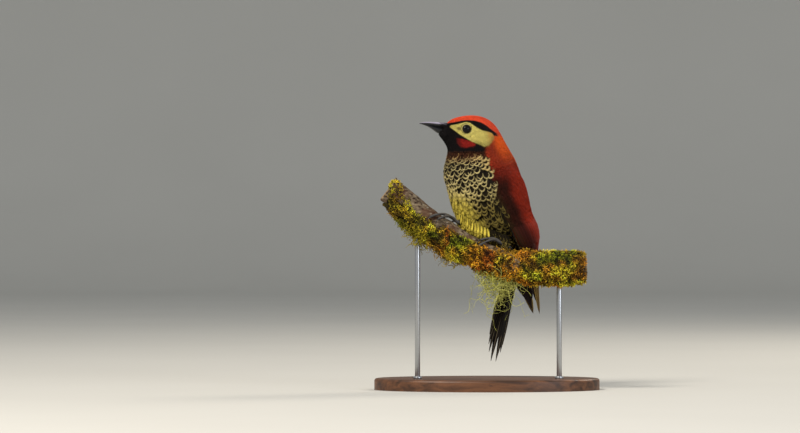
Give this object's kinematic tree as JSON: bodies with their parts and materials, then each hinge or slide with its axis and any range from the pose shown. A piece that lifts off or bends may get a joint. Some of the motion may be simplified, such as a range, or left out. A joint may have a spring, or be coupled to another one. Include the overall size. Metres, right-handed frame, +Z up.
{
  "type": "crimson-mantled woodpecker on a perch, still display model",
  "caption": "Life-size woodpecker with crimson back, scalloped breast and yellow belly, perched on a short mossy branch held by rods on an oval base.",
  "frame": {"origin": "centre of the stand's flat underside", "axes": "+Z up; the bird faces -X and a little towards -Y; the perch runs along X"},
  "size_m": [0.214, 0.126, 0.2608],
  "materials": {
    "crimson_plumage": "soft, matte",
    "breast_plumage": "soft, matte",
    "flight_feathers": "slight sheen",
    "tail_feathers": "slight sheen",
    "bill_horn": "satin horn",
    "eye": "wet gloss",
    "foot_scutes": "scaly, satin",
    "claw_horn": "horn",
    "bark": "rough bark",
    "moss": "damp moss",
    "stand_wood": "satin varnish",
    "stand_steel": "brushed"
  },
  "bodies": {
    "root": {"head": "crimson_plumage", "neck": "crimson_plumage", "wing_left": "crimson_plumage", "wing_right": "crimson_plumage", "trunk": "breast_plumage", "tail_coverts": "breast_plumage", "primaries_left": "flight_feathers", "primaries_right": "flight_feathers", "tail_feather_left_1": "tail_feathers", "tail_feather_left_2": "tail_feathers", "tail_feather_left_3": "tail_feathers", "tail_feather_left_4": "tail_feathers", "tail_feather_left_5": "tail_feathers", "tail_feather_right_1": "tail_feathers", "tail_feather_right_2": "tail_feathers", "tail_feather_right_3": "tail_feathers", "tail_feather_right_4": "tail_feathers", "tail_feather_right_5": "tail_feathers", "bill_upper": "bill_horn", "bill_lower": "bill_horn", "eye_left": "eye", "eye_right": "eye", "shank_left": "foot_scutes", "shank_right": "foot_scutes", "toe_inner_left": "foot_scutes", "toe_outer_left": "foot_scutes", "toe_back_left": "foot_scutes", "toe_side_left": "foot_scutes", "toe_inner_right": "foot_scutes", "toe_outer_right": "foot_scutes", "toe_back_right": "foot_scutes", "toe_side_right": "foot_scutes", "claw_inner_left": "claw_horn", "claw_outer_left": "claw_horn", "claw_back_left": "claw_horn", "claw_side_left": "claw_horn", "claw_inner_right": "claw_horn", "claw_outer_right": "claw_horn", "claw_back_right": "claw_horn", "claw_side_right": "claw_horn", "perch": "bark", "moss_under": "moss", "moss_side": "moss", "moss_middle": "moss", "moss_end": "moss", "stand_base": "stand_wood", "stand_rod_left": "stand_steel", "stand_rod_right": "stand_steel"}
  },
  "joints": []
}
